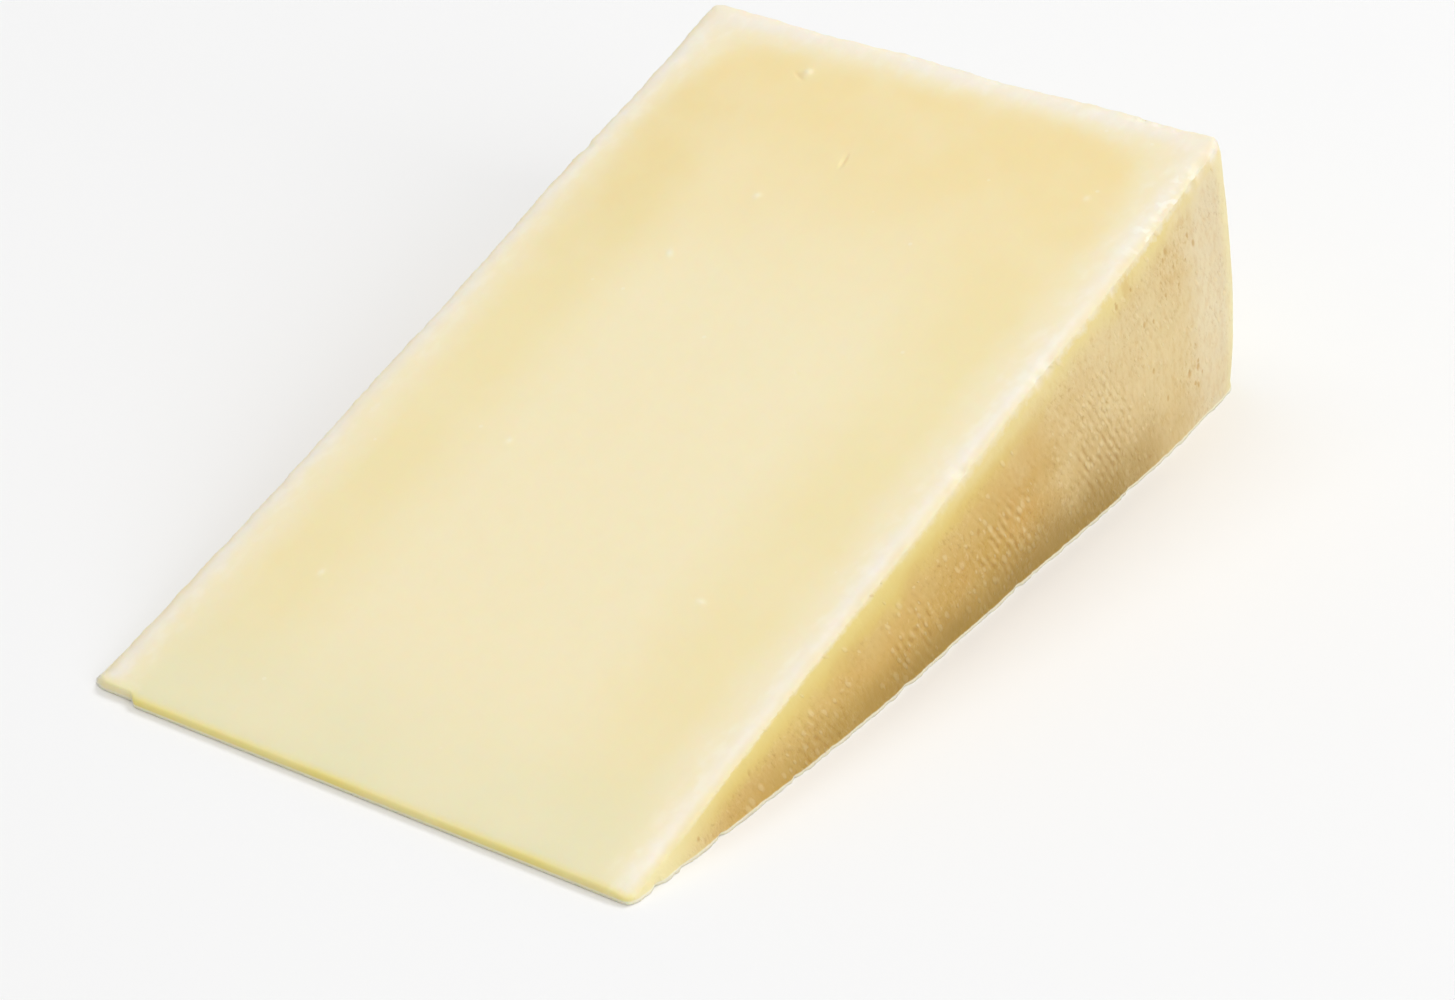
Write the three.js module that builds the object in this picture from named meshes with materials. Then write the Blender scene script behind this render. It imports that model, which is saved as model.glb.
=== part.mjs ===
// A slim wedge of hard cheese, lying on one of its two cut faces.
//
// Units are millimetres and +Z is up. The wheel that the wedge was cut from has a plain rim
// and two flat round sides. While the shape is worked out, the wheel's axis is the Y axis:
// every point of the wedge has a place on the wheel's half section, given by its distance
// out from the axis and its place across the wheel, and a turn about the axis. The wedge is
// that half section swept through the slice angle. Its tip lies next to the axis, its heel
// is a stretch of the rim, and the turn of 0 is the face that it rests on.
//
// At the end the origin moves to the resting face, at the middle of the wedge's outline,
// so +X runs from the tip to the heel and +Y from the right side to the left one.

import * as THREE from "three";

// The wheel
const WHEEL_RADIUS = 150;
const WHEEL_HEIGHT = 84.4;

// The slice
const SLICE_ANGLE = THREE.MathUtils.degToRad(15.9);
const TIP_DISTANCE = 5; // the very tip is blunt: it was cut off this far from the axis

// Corners of the half section, as seen from above: how far each rounding reaches out from
// the axis and across the wheel. The rim's right corner is worn to a long shallow round.
const ROUNDING = {
  heelRight: { out: 5, across: 2.4 },
  heelLeft: { out: 1.6, across: 1.4 },
  tipRight: { out: 2.2, across: 1.3 },
  tipLeft: { out: 2.2, across: 2.2 },
};

// Softened edges along both cut faces
const CUT_ROUNDING = 0.5;
const CUT_ROUNDING_SHARE = 0.3; // of the wedge's thickness, at most, where it thins out

// How far the surfaces stray from true
const SIDE_BOW_AT_REST = 1.9; // the sides bow out along the resting edge
const RIGHT_BOW_AT_TOP = 0.1; // and are almost straight along the upper edge
const LEFT_BOW_AT_TOP = -0.4;
const HEEL_HOLLOW = 0.25; // the rim is a little hollow between its two corners
const RIM_FALLOFF = 6; // power by which the rim's unevenness dies away towards the tip

// Slow unevenness of the surfaces: its depth, and how many waves it has in each direction
const SIDE_WAVE = { depth: 0.22, along: 3, across: 0.6, up: 0.8 };
const RIM_WAVE = { depth: 0.22, across: 1.4, up: 0.5 };
const CUT_WAVE = { depth: 0.18, along: 1.1, across: 0.6 };

// Fineness of the surface
const FACE_STEP = 6;
const CORNER_STEPS = 3;
const EDGE_STEPS = 3;
const WALL_STEPS = 6;

const PASTE_COLOUR = 0xf1e3b6;
const PASTE_ROUGHNESS = 0.5;

const { lerp } = THREE.MathUtils;
const HALF_HEIGHT = WHEEL_HEIGHT / 2;

// The part of the half section that lies inside the softened edges of the cut faces
const CORE = {
  tip: TIP_DISTANCE + CUT_ROUNDING,
  heel: WHEEL_RADIUS - CUT_ROUNDING,
  right: -HALF_HEIGHT + CUT_ROUNDING,
  left: HALF_HEIGHT - CUT_ROUNDING,
};

// Grid lines from one end of the core to the other: close together through the rounded
// corners, and about FACE_STEP apart between them.
function gridLines(start, end, startRoundings, endRoundings) {
  const startCorner = Math.max(...startRoundings) - CUT_ROUNDING;
  const endCorner = Math.max(...endRoundings) - CUT_ROUNDING;
  const plain = end - start - startCorner - endCorner;
  const plainSteps = Math.round(plain / FACE_STEP);
  const lines = [];
  for (let i = 0; i < CORNER_STEPS; i += 1) {
    lines.push(start + (startCorner * i) / CORNER_STEPS);
  }
  for (let i = 0; i <= plainSteps; i += 1) {
    lines.push(start + startCorner + (plain * i) / plainSteps);
  }
  for (let i = CORNER_STEPS - 1; i >= 0; i -= 1) {
    lines.push(end - (endCorner * i) / CORNER_STEPS);
  }
  return lines;
}

// The rounding of the section's corner that a point is nearest to.
function cornerRounding(atHeel, atRight) {
  if (atHeel) {
    return atRight ? ROUNDING.heelRight : ROUNDING.heelLeft;
  }
  return atRight ? ROUNDING.tipRight : ROUNDING.tipLeft;
}

// A grid point of the core, drawn into the rounded corner if it lies in one, with the
// direction in which the section's outline faces there.
function corePoint(out, across) {
  const atHeel = out > (CORE.tip + CORE.heel) / 2;
  const atRight = across < 0;
  const outward = atHeel ? 1 : -1;
  const sideward = atRight ? -1 : 1;
  const end = atHeel ? CORE.heel : CORE.tip;
  const side = atRight ? CORE.right : CORE.left;
  const rounding = cornerRounding(atHeel, atRight);
  const roundOut = rounding.out - CUT_ROUNDING;
  const roundAcross = rounding.across - CUT_ROUNDING;

  // Shares of the rounding by which the point lies past its centre, each way
  const centreOut = end - outward * roundOut;
  const centreAcross = side - sideward * roundAcross;
  const pastOut = ((out - centreOut) * outward) / roundOut;
  const pastAcross = ((across - centreAcross) * sideward) / roundAcross;
  if (pastOut > 0 && pastAcross > 0) {
    const drawnIn = Math.max(pastOut, pastAcross) / Math.hypot(pastOut, pastAcross);
    const steepness = Math.hypot(pastOut / roundOut, pastAcross / roundAcross);
    return {
      out: centreOut + outward * pastOut * drawnIn * roundOut,
      across: centreAcross + sideward * pastAcross * drawnIn * roundAcross,
      faceOut: (outward * pastOut) / roundOut / steepness,
      faceAcross: (sideward * pastAcross) / roundAcross / steepness,
    };
  }
  const onEnd = out === end;
  return {
    out,
    across,
    faceOut: onEnd ? outward : 0,
    faceAcross: onEnd ? 0 : sideward,
  };
}

// The height of a wave after so many turns of it.
function wave(turns) {
  return Math.sin(2 * Math.PI * turns);
}

// Carries a point of the half section to its turn about the axis, with the bow of the
// sides, the hollow of the rim and the slow unevenness of the real thing.
function wedgePoint(out, across, turn) {
  const height = turn / SLICE_ANGLE;
  const along = (out - TIP_DISTANCE) / (WHEEL_RADIUS - TIP_DISTANCE);
  const aside = across / HALF_HEIGHT;

  const bowAtTop = across < 0 ? RIGHT_BOW_AT_TOP : LEFT_BOW_AT_TOP;
  const bow = lerp(SIDE_BOW_AT_REST, bowAtTop, height) * Math.sin(Math.PI * along);
  const sideWave = SIDE_WAVE.depth * wave(SIDE_WAVE.up * height)
    * wave(SIDE_WAVE.along * along + SIDE_WAVE.across * aside);
  const hollow = HEEL_HOLLOW * (1 - aside * aside);
  const rimWave = RIM_WAVE.depth * wave(RIM_WAVE.across * aside + RIM_WAVE.up * height);
  const cutWave = CUT_WAVE.depth * wave(CUT_WAVE.along * along) * wave(CUT_WAVE.across * aside);

  const bowedAcross = across + aside * Math.abs(aside) * (bow + sideWave * along);
  const bowedOut = out - along ** RIM_FALLOFF * (hollow + rimWave);
  return new THREE.Vector3(
    bowedOut * Math.cos(turn),
    bowedAcross,
    bowedOut * Math.sin(turn) + cutWave * height * along,
  );
}

// The rows of a side wall, from the resting face to the upper one: a quarter round, the
// plain wall and another quarter round. Each row says how far it spreads beyond the core
// and what it gives to the point's turn.
function wallRows() {
  const roundRow = (step) => {
    const swing = (Math.PI / 2) * (step / EDGE_STEPS);
    return {
      spread: CUT_ROUNDING * Math.sin(swing),
      climb: 1 - Math.cos(swing),
    };
  };
  const rows = [];
  for (let step = 1; step <= EDGE_STEPS; step += 1) {
    rows.push({ ...roundRow(step), height: 0 });
  }
  for (let step = 1; step < WALL_STEPS; step += 1) {
    rows.push({ spread: CUT_ROUNDING, climb: 1, height: step / WALL_STEPS });
  }
  for (let step = EDGE_STEPS; step >= 1; step -= 1) {
    rows.push({ ...roundRow(step), height: 1 });
  }
  return rows;
}

// A point of a side wall, beside the core's edge point and on the given row.
function wallPoint(edge, row) {
  const out = edge.out + edge.faceOut * row.spread;
  const across = edge.across + edge.faceAcross * row.spread;
  const rounding = Math.min(CUT_ROUNDING / out, CUT_ROUNDING_SHARE * SLICE_ANGLE);
  const low = rounding * row.climb;
  return wedgePoint(out, across, lerp(low, SLICE_ANGLE - low, row.height));
}

// Adds the two triangles of a four-sided patch whose corners run anticlockwise as seen
// from outside.
function addPatch(indices, a, b, c, d) {
  indices.push(a, b, c, a, c, d);
}

// The closed surface: the resting face and the upper face are the same grid at turns of 0
// and of the slice angle, and the rows of the side wall run around their edges.
function wedgeGeometry() {
  const { heelRight, heelLeft, tipRight, tipLeft } = ROUNDING;
  const outLines = gridLines(
    CORE.tip,
    CORE.heel,
    [tipRight.out, tipLeft.out],
    [heelRight.out, heelLeft.out],
  );
  const acrossLines = gridLines(
    CORE.right,
    CORE.left,
    [tipRight.across, heelRight.across],
    [tipLeft.across, heelLeft.across],
  );
  const lastOut = outLines.length - 1;
  const lastAcross = acrossLines.length - 1;

  const points = [];
  const indices = [];
  const addPoint = (point) => points.push(point) - 1;

  const addFace = (turn) => outLines.map((out) => acrossLines.map((across) => {
    const core = corePoint(out, across);
    return addPoint(wedgePoint(core.out, core.across, turn));
  }));
  const restingFace = addFace(0);
  const upperFace = addFace(SLICE_ANGLE);
  for (let i = 0; i < lastOut; i += 1) {
    for (let j = 0; j < lastAcross; j += 1) {
      const rest = [restingFace[i], restingFace[i + 1]];
      const upper = [upperFace[i], upperFace[i + 1]];
      addPatch(indices, rest[0][j], rest[0][j + 1], rest[1][j + 1], rest[1][j]);
      addPatch(indices, upper[0][j], upper[1][j], upper[1][j + 1], upper[0][j + 1]);
    }
  }

  // Around the grid's edge, anticlockwise from above: right side, heel, left side, tip
  const border = [];
  for (let i = 0; i < lastOut; i += 1) border.push([i, 0]);
  for (let j = 0; j < lastAcross; j += 1) border.push([lastOut, j]);
  for (let i = lastOut; i > 0; i -= 1) border.push([i, lastAcross]);
  for (let j = lastAcross; j > 0; j -= 1) border.push([0, j]);

  const edges = border.map(([i, j]) => corePoint(outLines[i], acrossLines[j]));
  const rings = [
    border.map(([i, j]) => restingFace[i][j]),
    ...wallRows().map((row) => edges.map((edge) => addPoint(wallPoint(edge, row)))),
    border.map(([i, j]) => upperFace[i][j]),
  ];
  for (let r = 0; r + 1 < rings.length; r += 1) {
    for (let k = 0; k < border.length; k += 1) {
      const next = (k + 1) % border.length;
      addPatch(indices, rings[r][k], rings[r][next], rings[r + 1][next], rings[r + 1][k]);
    }
  }

  const geometry = new THREE.BufferGeometry().setFromPoints(points);
  geometry.setIndex(indices);
  return geometry;
}

// Moves the origin from the wheel's axis to the middle of the resting face's outline.
function standOnOrigin(geometry) {
  geometry.computeBoundingBox();
  const { min, max } = geometry.boundingBox;
  geometry.translate(-(min.x + max.x) / 2, -(min.y + max.y) / 2, -min.z);
  geometry.computeVertexNormals();
  return geometry;
}

const paste = new THREE.MeshStandardMaterial({
  color: PASTE_COLOUR,
  roughness: PASTE_ROUGHNESS,
  metalness: 0,
});

const wedge = new THREE.Mesh(standOnOrigin(wedgeGeometry()), paste);
wedge.name = "cheese_wedge";

const group = new THREE.Group();
group.add(wedge);

export default group;
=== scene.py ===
"""Dresses a slim wedge of hard cheese, lying on one of its two cut faces, and lights it.

The wedge is a slice from the middle of a wheel to its rim. Every point of it has a place on
the wheel's half section, given by its distance out from the wheel's axis and its place across
the wheel, and a turn about the axis. The resting face has a turn of 0. The axis runs along Y.

The surface is laid out flat in three sheets, the resting face, the upper face and the wall
that runs around them, and each sheet is cut into even triangles and wrapped onto the wedge.
Geometry Nodes then press the moulding cloth's weave, the pits and the worn grain into the
rind. Flat layouts are worked out in millimetres, and everything else is in metres.
"""

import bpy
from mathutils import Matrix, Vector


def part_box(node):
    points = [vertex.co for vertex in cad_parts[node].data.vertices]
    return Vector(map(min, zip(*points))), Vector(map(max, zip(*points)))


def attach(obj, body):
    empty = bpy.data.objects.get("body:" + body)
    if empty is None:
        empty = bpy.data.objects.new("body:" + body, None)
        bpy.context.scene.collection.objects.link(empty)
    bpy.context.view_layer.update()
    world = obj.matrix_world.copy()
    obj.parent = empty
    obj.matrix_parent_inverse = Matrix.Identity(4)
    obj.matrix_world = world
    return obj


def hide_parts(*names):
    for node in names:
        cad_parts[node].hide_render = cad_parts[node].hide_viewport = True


bl_info = {
    "name": "Cheese Wedge",
    "version": (1, 0, 0),
    "blender": (4, 5, 0),
    "location": "View3D > Sidebar > Cheese",
    "description": "Builds a wedge of hard cheese with a cloth-marked rind, and a stage for it",
    "category": "Object",
}

import math

import bpy
import numpy as np
from bpy.props import FloatProperty, FloatVectorProperty, IntProperty, PointerProperty
from mathutils import Matrix, Vector
from mathutils.geometry import delaunay_2d_cdt

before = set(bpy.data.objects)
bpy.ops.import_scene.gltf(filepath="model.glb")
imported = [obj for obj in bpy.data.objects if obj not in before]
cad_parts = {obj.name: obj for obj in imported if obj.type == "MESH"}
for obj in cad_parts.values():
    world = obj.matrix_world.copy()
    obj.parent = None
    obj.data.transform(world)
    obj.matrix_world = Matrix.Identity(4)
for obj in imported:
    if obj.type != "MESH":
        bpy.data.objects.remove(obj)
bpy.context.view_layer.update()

MM = 0.001
NODE = "cheese_wedge"
PIECE = "hard_cheese_wedge"
BODY = "root"

HEX_ROW = math.sqrt(3) / 2  # height of an even triangle of side 1
TURN = 2 * math.pi


def linear(red, green, blue):
    """A colour given as it looks on a screen, 0 to 255, in the linear values that nodes use."""
    shares = (value / 255 for value in (red, green, blue))
    return tuple(part / 12.92 if part <= 0.04045 else ((part + 0.055) / 1.055) ** 2.4
                 for part in shares)


def length(name, description, default):
    """A size that a user can change, in metres."""
    return FloatProperty(name=name, description=description, default=default, min=0.0,
                         precision=4, subtype="DISTANCE", unit="LENGTH")


def angle(name, description, degrees):
    """An angle that a user can change."""
    return FloatProperty(name=name, description=description, default=math.radians(degrees),
                         subtype="ANGLE", unit="ROTATION")


def rounding(name, description, out, across):
    """A corner rounding: how far it reaches out from the axis, and across the wheel."""
    return FloatVectorProperty(name=name, description=description, size=2,
                               default=(out * MM, across * MM), precision=4, unit="LENGTH")


def share(name, description, default, highest=1.0):
    """A plain factor."""
    return FloatProperty(name=name, description=description, default=default, min=0.0,
                         max=highest, subtype="FACTOR")


def colour(name, description, red, green, blue):
    """A colour that a user can change, given here as it looks on a screen."""
    return FloatVectorProperty(name=name, description=description, size=3, min=0.0, max=1.0,
                               subtype="COLOR", default=linear(red, green, blue))


class WedgeShape(bpy.types.PropertyGroup):
    """Sizes of the wheel, the slice and its softened edges"""

    wheel_radius: length("Wheel radius", "From the wheel's axis to its rim", 150 * MM)
    wheel_height: length("Wheel height", "Across the wheel, from side to side", 84.4 * MM)
    slice_angle: angle("Slice angle", "Between the two cut faces", 15.9)
    tip_distance: length("Tip distance", "From the wheel's axis to the blunt tip", 5 * MM)
    heel_right: rounding("Heel, right", "Rounding of the rim's right corner", 5, 2.4)
    heel_left: rounding("Heel, left", "Rounding of the rim's left corner", 1.6, 1.4)
    tip_right: rounding("Tip, right", "Rounding of the tip's right corner", 2.2, 1.3)
    tip_left: rounding("Tip, left", "Rounding of the tip's left corner", 2.2, 2.2)
    cut_rounding: length("Cut rounding", "Softness of the edges of the cut faces", 0.5 * MM)
    cut_rounding_share: share("Cut rounding share", "Most of the thickness it may take", 0.3)
    side_bow: length("Side bow", "How far the sides bow out at the resting edge", 1.9 * MM)
    heel_hollow: length("Heel hollow", "How far the rim is hollow between corners", 0.25 * MM)
    rind_step: length("Rind step", "Fineness of the rind's surface", 0.42 * MM)
    upper_step: length("Upper face step", "Fineness of the upper face's surface", 1.3 * MM)
    resting_step: length("Resting face step", "Fineness of the resting face", 2.6 * MM)


class RindRelief(bpy.types.PropertyGroup):
    """The pattern that the moulding cloth and the ripening left in the rind"""

    ridge_spacing: length("Ridge spacing", "From one ridge of the weave to the next", 1.35 * MM)
    ridge_depth: length("Ridge depth", "Height of a ridge over the mean surface", 0.03 * MM)
    grain_depth: length("Grain depth", "Depth of the worn grain", 0.05 * MM)
    swell_depth: length("Swell depth", "Depth of the slow dents and swells", 0.16 * MM)
    pit_spacing: length("Pit spacing", "Size of the patch that can hold one pit", 1.2 * MM)
    pit_radius: length("Pit radius", "Half the width of a pit", 0.4 * MM)
    pit_depth: length("Pit depth", "Depth of a pit", 0.1 * MM)
    edge_wear: length("Edge wear", "How far the upper edge is worn down", 0.38 * MM)
    wear_reach: length("Wear reach", "How far from the edge the wear reaches", 1.3 * MM)
    chip_spacing: length("Chip spacing", "Size of the patch that can hold one chip", 2.6 * MM)
    chip_depth: length("Chip depth", "Depth of a chip in the edge", 0.26 * MM)
    lip_height: length("Lip height", "Height of the lip along the resting edge", 0.5 * MM)
    lip_depth: length("Lip depth", "How far that lip stands out", 0.25 * MM)
    seed: IntProperty(name="Seed", description="Draws another pattern", default=7, min=0)


class PasteLook(bpy.types.PropertyGroup):
    """Colours of the cut paste, from the rind inwards"""

    crease: colour("Crease", "Where paste and rind meet", 238, 226, 192)
    dry: colour("Dry", "The chalky edge beside the rind", 243, 235, 219)
    pale: colour("Pale", "Just inside the chalky edge", 245, 233, 200)
    band: colour("Band", "The warm band inside the pale edge", 242, 227, 177)
    heart: colour("Heart", "The middle of the cut face", 245, 232, 193)
    heel: colour("Heel", "The warm band where it nears the heel", 243, 222, 165)
    # Painted shade: the upper face is darker inside its left edge, where the light falls more
    # weakly
    deep: colour("Deep", "A deeper shade inside the left edge", 228, 206, 138)
    tip: colour("Tip", "The thin paste next to the tip", 236, 229, 190)
    tip_face: colour("Tip face", "The blunt end of the tip", 236, 218, 124)
    # Also a painted highlight: the bright line along the resting edge is partly this lip and
    # partly painted highlight
    lip: colour("Lip", "The thin lip of paste along the resting edge", 248, 239, 210)
    crystal: colour("Crystal", "The small hard crystals and the crumbs", 253, 249, 235)


class RindLook(bpy.types.PropertyGroup):
    """Colours of the rind, from its upper edge down"""

    straw: colour("Straw", "Just under the cut edge", 231, 211, 134)
    yellow: colour("Yellow", "A little lower", 226, 200, 117)
    golden: colour("Golden", "Half way down", 217, 183, 108)
    # Partly the rind's own tone and partly painted shade low on the wall, near the resting edge
    tan: colour("Tan", "Near the resting edge", 202, 165, 85)
    heel_upper: colour("Heel, upper", "The rind near the heel, under the edge", 233, 214, 147)
    heel_lower: colour("Heel, lower", "The rind near the heel, lower down", 227, 204, 151)
    heel_end: colour("Heel end", "The rind of the heel and beside it", 234, 220, 186)
    corner: colour("Corner", "The rubbed corners of the heel", 242, 230, 172)
    # Partly the rind's own darker tone and partly painted shade, low on the rind over the resting
    # edge
    foot: colour("Foot", "The damp strip over the resting edge", 160, 129, 58)
    damp: colour("Damp", "Low damp patches", 196, 164, 104)
    stain: colour("Stain", "Golden brown stains", 208, 164, 86)
    # Partly the grooves' own tone, partly painted shade in the grooves of the weave and in the low
    # grain
    groove: colour("Groove", "What the grooves of the weave are shaded with", 218, 196, 152)
    # Partly rubbed wear, partly painted highlight on the crests of the weave and on the raised
    # grains; also used for pale clouds
    ridge: colour("Ridge", "The rubbed crests of the weave and the grain", 240, 219, 166)
    pit: colour("Pit", "The bottoms of the pits", 198, 154, 80)


class StageLook(bpy.types.PropertyGroup):
    """The camera, the lights and the floor"""

    azimuth: angle("Azimuth", "Way the camera is turned about Z", -54.16)
    elevation: angle("Elevation", "Height of the camera's view", 31.32)
    roll: angle("Roll", "Lean of the camera about its view", -1.89)
    distance: length("Distance", "From the camera to the point it looks at", 533.2 * MM)
    target: FloatVectorProperty(name="Target", description="Looked at, from the wheel's axis",
                                default=(59.42 * MM, -18.48 * MM, 20 * MM), precision=4,
                                subtype="XYZ", unit="LENGTH")
    focal_length: FloatProperty(name="Focal length", description="Of the camera, in mm",
                                default=104.93, min=1.0)
    floor_size: length("Floor size", "Side of the square floor", 4.0)
    floor: colour("Floor", "The pale floor", 244, 244, 244)
    sky: colour("Sky", "The even light from all around", 255, 255, 255)
    sky_strength: share("Sky strength", "Of the even light", 0.45, 10.0)
    overhead: share("Overhead light", "Of the large softbox, where 1 lights a white card", 0.26)
    key: share("Key light", "Of the softbox beside the heel", 0.35)
    fill: share("Fill light", "Of the softbox in front of the right side", 0.3)


# ---------------------------------------------------------------------------------------
# Shape of the wedge


# Small marks of the upper cut face: place out from the axis and across the
# wheel, length, width, the way they lie, and their height over the face. All are in mm
# except the angle. A mark with a height below nothing is an opening in the paste.
CUT_MARKS = (
    (141.0, 20.0, 1.1, 0.9, 20, 0.24),
    (139.9, 20.9, 1.5, 0.5, 60, -0.16),
    (126.5, 5.0, 1.9, 0.4, 10, -0.26),
    (116.0, 12.5, 0.9, 0.8, 0, 0.14),
    (101.5, 17.5, 1.2, 0.7, 35, 0.12),
    (62.5, 17.0, 0.8, 0.7, 0, 0.10),
    (48.5, -23.0, 1.0, 0.7, 80, 0.12),
    (132.0, -30.5, 0.8, 0.6, 0, 0.08),
    (88.0, -12.0, 0.7, 0.5, 50, -0.08),
    (33.0, 26.0, 0.8, 0.6, 0, 0.08),
)
MARK_PATCH = 2.2  # radius of the finer patch of surface around a mark
MARK_STEP = 0.22

# Patches of the unrolled wall, in mm: place around the outline, height up the wall, radius
# and strength. The outline starts in the middle of the tip. It runs along the right side up
# to 187, along the heel up to 271 and back along the left side. Where the cloth's weave is
# pressed in most, the strength is its share of the full depth
WOVEN_PATCHES = (
    (78, 4, 9, 0.6), (100, 6, 11, 0.7), (121, 7, 14, 0.9), (146, 10, 17, 1.0),
    (163, 21, 9, 0.4), (199, 14, 15, 0.9), (217, 27, 13, 0.8), (233, 11, 15, 1.0),
    (256, 25, 15, 0.9),
    (292, 22, 15, 0.8), (322, 10, 16, 0.9), (352, 7, 12, 0.7), (384, 4, 9, 0.6),
)
FAINT_WEAVE = 0.2  # share of the full depth that the weave has elsewhere

# Where the rind is stained golden brown, and where it is darker and damp, low on the wall
STAINED_PATCHES = (
    (167, 29.0, 6.0, 0.6), (157, 31, 4.0, 0.5), (172, 34, 3.0, 0.5), (166, 18, 5.0, 0.15),
    (125, 11.5, 8.5, 0.95), (121, 6, 6.0, 0.6), (112, 9, 6.0, 0.4), (201, 9, 8.0, 0.5),
    (213, 30, 8.0, 0.8), (228, 20, 7.0, 0.4), (243, 11, 9.0, 0.7), (259, 30, 7.0, 0.6),
    (283, 27, 8.0, 0.8), (318, 12, 9.0, 0.7), (350, 9, 8.0, 0.5),
)
DAMP_PATCHES = (
    (134, 4, 8.0, 0.8), (146, 5, 11.0, 1.0), (157, 4, 9.0, 0.8), (167, 3, 7.0, 0.4),
    (205, 2, 9.0, 0.4), (224, 3, 12.0, 0.7), (248, 2, 9.0, 0.5), (300, 3, 10.0, 0.8),
    (330, 3, 9.0, 0.7),
)

# Where pits gather, the strength is the share of the spots in the middle that hold a pit
PIT_CLOUDS = (
    (167, 29.5, 4.5, 0.7), (170.5, 35, 2.5, 0.7), (160.7, 15, 2.2, 0.4), (172.7, 8.5, 2.5, 0.6),
    (157, 30.5, 4.0, 0.4), (140, 12, 5.0, 0.1), (174, 31, 3.5, 0.25), (212, 31, 5.0, 0.6),
    (229, 19, 4.0, 0.2), (246, 9, 3.5, 0.5), (257, 31, 3.0, 0.4),
    (281, 30, 5.0, 0.7), (305, 9, 3.5, 0.4), (334, 15, 3.0, 0.3),
)
STRAY_PITS = 0.006  # share of the spots elsewhere that hold a pit

# Nicks in the edge of the right side where it rests: place out from the axis, half width
# and depth, in mm
RESTING_NICKS = ((10.0, 1.0, 0.55), (14.6, 0.7, 0.25), (22.3, 0.9, 0.5), (37.0, 0.8, 0.3),
                 (61.0, 1.2, 0.3), (88.0, 0.9, 0.35), (117.0, 1.3, 0.3))
NICK_HEIGHT = 0.9
NICK_REACH = 2.0  # how far into the wedge the surface gives way to a nick

# The tip's left corner has broken off: where the break starts across the wheel, how much
# sooner it is whole, how far the edge is set back and how far into the paste that reaches
BROKEN_TIP = {"start": 35.2, "step": 1.1, "depth": 0.9, "reach": 2.5}

# The side's resting edge wanders out and in: by how much, over which length, where it is
# farthest out, and how high up the side that reaches
RESTING_WANDER = {"depth": 0.4, "length": 76.0, "crest": 47.0, "reach": 7.0}

# Near the tip the left side's foot spreads: how far, where along the side, and over which
# length
TIP_SPREAD = {"width": 1.7, "place": 15.0, "reach": 24.0}

# Near the tip the upper face falls away to its right edge: how far, over which width, and
# how far along the side
TIP_DROOP = {"depth": 0.5, "width": 3.2, "reach": 26.0}

# How far each side bows out along the upper face
RIGHT_BOW_AT_TOP = 0.1
LEFT_BOW_AT_TOP = -0.4
RIM_FALLOFF = 6  # power by which the rim's unevenness dies away towards the tip

# Slow unevenness: its depth, and how many waves it has in each direction
SIDE_WAVE = {"depth": 0.22, "along": 3, "across": 0.6, "up": 0.8}
RIM_WAVE = {"depth": 0.22, "across": 1.4, "up": 0.5}
CUT_WAVE = {"depth": 0.18, "along": 1.1, "across": 0.6}

TIP_REACH = 1.5  # how far from the tip's edge the blunt tip still counts
FAR = 100.0  # a distance beyond any that matters

RESTING_SOFTNESS = 0.3  # height of the resting edge's rounding over its width

ARC_POINTS = 24  # of each rounded corner of the outline, before it is spaced evenly
SEAM_STEPS = 5  # along the seam where the unrolled wall meets itself
MEASURED_ROWS = 24  # of the wall, from which the wedge's box is measured


def wave(turns):
    """The height of a wave after so many turns of it."""
    return np.sin(TURN * turns)


def bump(distance, half_width):
    """A smooth bump: 1 in the middle and almost nothing beyond its half width."""
    return np.exp(-2.0 * (distance / half_width) ** 2)


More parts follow.
